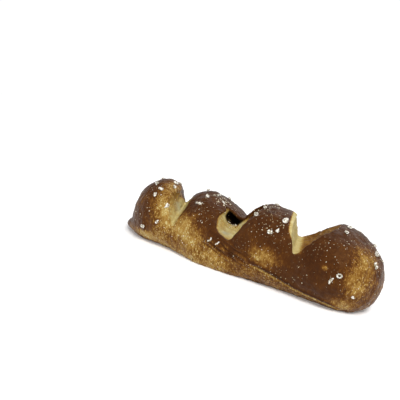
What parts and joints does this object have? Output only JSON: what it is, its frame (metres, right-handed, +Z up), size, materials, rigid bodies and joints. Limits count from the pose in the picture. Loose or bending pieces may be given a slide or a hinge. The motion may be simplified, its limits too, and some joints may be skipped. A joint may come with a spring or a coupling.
{
  "type": "mini baguette",
  "caption": "Small lye-browned baguette on its flat base, with deep slanting scores that open on pale crumb, and coarse salt on its crust.",
  "frame": {"origin": "middle of the flat base, under the middle of the whole object's box", "axes": "+X along the loaf towards its plump end, +Z up through the scored crown, and -Y the side on which the scores run lowest"},
  "size_m": [0.1328, 0.0432, 0.0356],
  "materials": {
    "lye_crust": "satin",
    "pretzel_salt": "matte"
  },
  "bodies": {
    "root": {"loaf": "lye_crust", "salt_grain_01": "pretzel_salt", "salt_grain_02": "pretzel_salt", "salt_grain_03": "pretzel_salt", "salt_grain_04": "pretzel_salt", "salt_grain_05": "pretzel_salt", "salt_grain_06": "pretzel_salt", "salt_grain_07": "pretzel_salt", "salt_grain_08": "pretzel_salt", "salt_grain_09": "pretzel_salt", "salt_grain_10": "pretzel_salt", "salt_grain_11": "pretzel_salt", "salt_grain_12": "pretzel_salt", "salt_grain_13": "pretzel_salt", "salt_grain_14": "pretzel_salt", "salt_grain_15": "pretzel_salt", "salt_grain_16": "pretzel_salt", "salt_grain_17": "pretzel_salt", "salt_grain_18": "pretzel_salt", "salt_grain_19": "pretzel_salt", "salt_grain_20": "pretzel_salt", "salt_grain_21": "pretzel_salt", "salt_grain_22": "pretzel_salt", "salt_grain_23": "pretzel_salt", "salt_grain_24": "pretzel_salt", "salt_grain_25": "pretzel_salt", "salt_grain_26": "pretzel_salt", "salt_grain_27": "pretzel_salt", "salt_grain_28": "pretzel_salt", "salt_grain_29": "pretzel_salt", "salt_grain_30": "pretzel_salt", "salt_grain_31": "pretzel_salt", "salt_grain_32": "pretzel_salt", "salt_grain_33": "pretzel_salt", "salt_grain_34": "pretzel_salt", "salt_grain_35": "pretzel_salt", "salt_grain_36": "pretzel_salt", "salt_grain_37": "pretzel_salt"}
  },
  "joints": []
}
